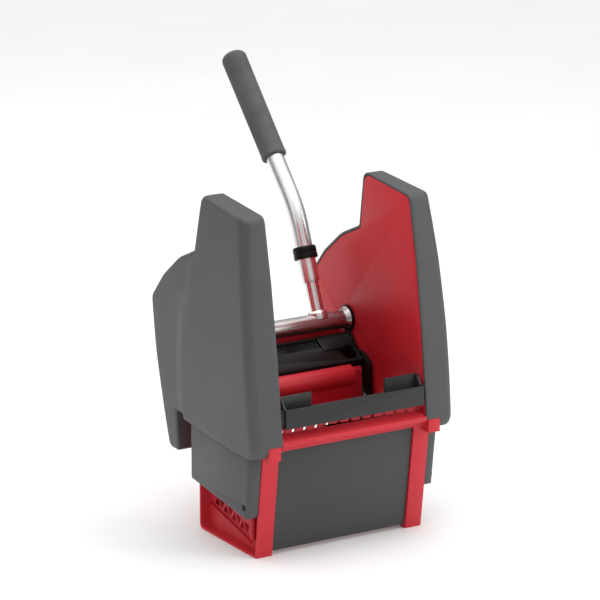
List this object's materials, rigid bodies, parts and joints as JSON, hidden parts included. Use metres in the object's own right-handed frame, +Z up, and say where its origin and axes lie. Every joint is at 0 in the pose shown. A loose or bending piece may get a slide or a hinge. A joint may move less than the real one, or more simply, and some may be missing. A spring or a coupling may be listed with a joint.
{
  "type": "mop wringer",
  "caption": "Lever mop wringer: a bent steel lever drives a press jaw forward against a perforated chamber wall between two side covers.",
  "frame": {"origin": "middle of the footprint box, on the surface that the feet stand on", "axes": "+Z up; -Y is the front with the grey panel; the lever leans back towards +Y; +X is the side the lever stands nearer to"},
  "size_m": [0.3152, 0.4386, 0.5986],
  "materials": {
    "red_plastic": "satin moulded red plastic",
    "cover_grey": "fine-grained mid-grey moulded plastic",
    "panel_grey": "fine-grained dark grey sheet",
    "bar_grey": "satin charcoal moulded plastic",
    "black_plastic": "satin black glass-filled plastic",
    "black_rubber": "matt black rubber",
    "grip_rubber": "matt grey rubber grip",
    "bright_steel": "bright drawn and plated steel",
    "zinc_steel": "zinc-plated steel"
  },
  "bodies": {
    "frame": {"side_plate_right": "red_plastic", "side_plate_left": "red_plastic", "front_frame": "red_plastic", "front_apron": "panel_grey", "front_sieve": "red_plastic", "sieve_floor": "red_plastic", "rear_wall": "red_plastic", "cover_right": "cover_grey", "cover_left": "cover_grey", "cover_screw_1_right": "zinc_steel", "cover_screw_1_left": "zinc_steel", "cover_screw_2_right": "zinc_steel", "cover_screw_2_left": "zinc_steel", "skirt_right": "cover_grey", "skirt_left": "cover_grey", "skirt_screw_right": "zinc_steel", "skirt_screw_left": "zinc_steel", "front_bar": "bar_grey", "bar_screw_1_right": "zinc_steel", "bar_screw_1_left": "zinc_steel", "bar_screw_2_right": "zinc_steel", "bar_screw_2_left": "zinc_steel", "shaft_bush_right": "black_plastic", "shaft_bush_left": "black_plastic", "jaw_bush_right": "black_plastic", "jaw_bush_left": "black_plastic", "jaw_buffer_right": "black_rubber", "jaw_buffer_left": "black_rubber", "return_spring_right": "zinc_steel", "return_spring_left": "zinc_steel"},
    "lever": {"cross_tube": "bright_steel", "shaft_flange_right": "bright_steel", "shaft_flange_left": "bright_steel", "lever_stub": "bright_steel", "weld_bead": "bright_steel", "handle_tube": "bright_steel", "handle_collar": "black_plastic", "handle_grip": "grip_rubber", "drive_pinion_right": "zinc_steel", "drive_pinion_left": "zinc_steel"},
    "jaw": {"jaw_carrier": "black_plastic", "jaw_pad": "red_plastic", "jaw_shaft": "bright_steel", "shaft_ring_right": "zinc_steel", "shaft_ring_left": "zinc_steel", "sector_gear_right": "zinc_steel", "sector_gear_left": "zinc_steel", "link_bolt_1_right": "zinc_steel", "link_bolt_1_left": "zinc_steel", "link_bolt_2_right": "zinc_steel", "link_bolt_2_left": "zinc_steel"}
  },
  "joints": [
    {"name": "lever_turn", "type": "hinge", "parent": "frame", "child": "lever", "pos_m": [0, -0.02134, 0.257], "axis": [-1, 0, 0], "range_deg": [0, 76], "stiffness_Nm_per_rad": 1.2, "springref_deg": -77.35},
    {"name": "jaw_swing", "type": "hinge", "parent": "frame", "child": "jaw", "pos_m": [0, -0.07134, 0.07111], "axis": [1, 0, 0], "range_deg": [0, 19]}
  ],
  "couplings": [
    {"joint": "jaw_swing", "follows": "lever_turn", "ratio": 0.25}
  ]
}
